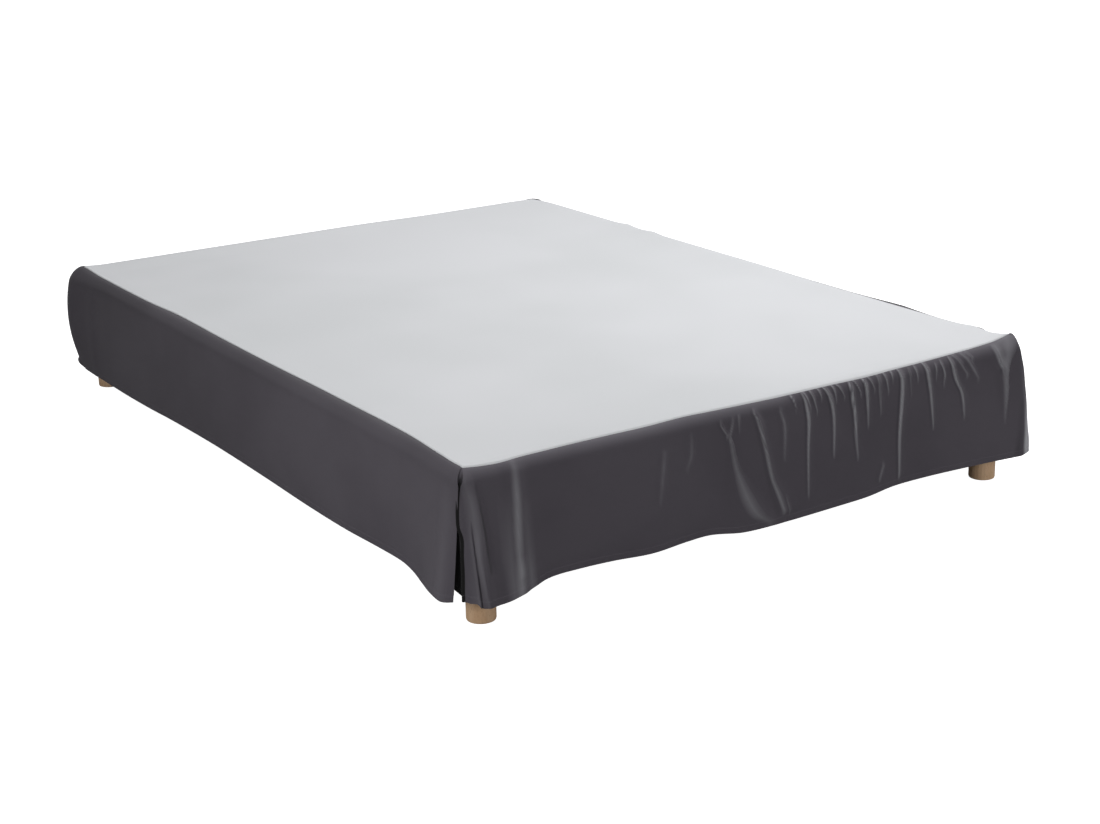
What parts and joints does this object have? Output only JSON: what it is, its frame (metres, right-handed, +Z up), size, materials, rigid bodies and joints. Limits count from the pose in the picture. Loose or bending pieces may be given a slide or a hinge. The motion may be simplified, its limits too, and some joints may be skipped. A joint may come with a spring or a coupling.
{
  "type": "bed skirt on a divan base",
  "caption": "Fitted bed skirt with a pale platform top and dark gathered drops, hung over a plain divan base on round wooden feet.",
  "frame": {"origin": "on the floor under the middle of the bed base", "axes": "+Z up, +Y from the foot of the bed to its head, +X to the right seen from the foot"},
  "size_m": [1.4623, 1.9687, 0.3147],
  "materials": {
    "anthracite_cloth": "matt woven cotton",
    "pale_platform_cloth": "matt non-woven platform cloth",
    "plain_ticking": "matt woven ticking",
    "turned_beech": "satin lacquer"
  },
  "bodies": {
    "root": {"deck_panel": "pale_platform_cloth", "drop_left": "anthracite_cloth", "drop_foot": "anthracite_cloth", "drop_right": "anthracite_cloth", "drop_head": "anthracite_cloth", "base_box": "plain_ticking", "leg_foot_left": "turned_beech", "leg_foot_right": "turned_beech", "leg_head_left": "turned_beech", "leg_head_right": "turned_beech"}
  },
  "joints": []
}
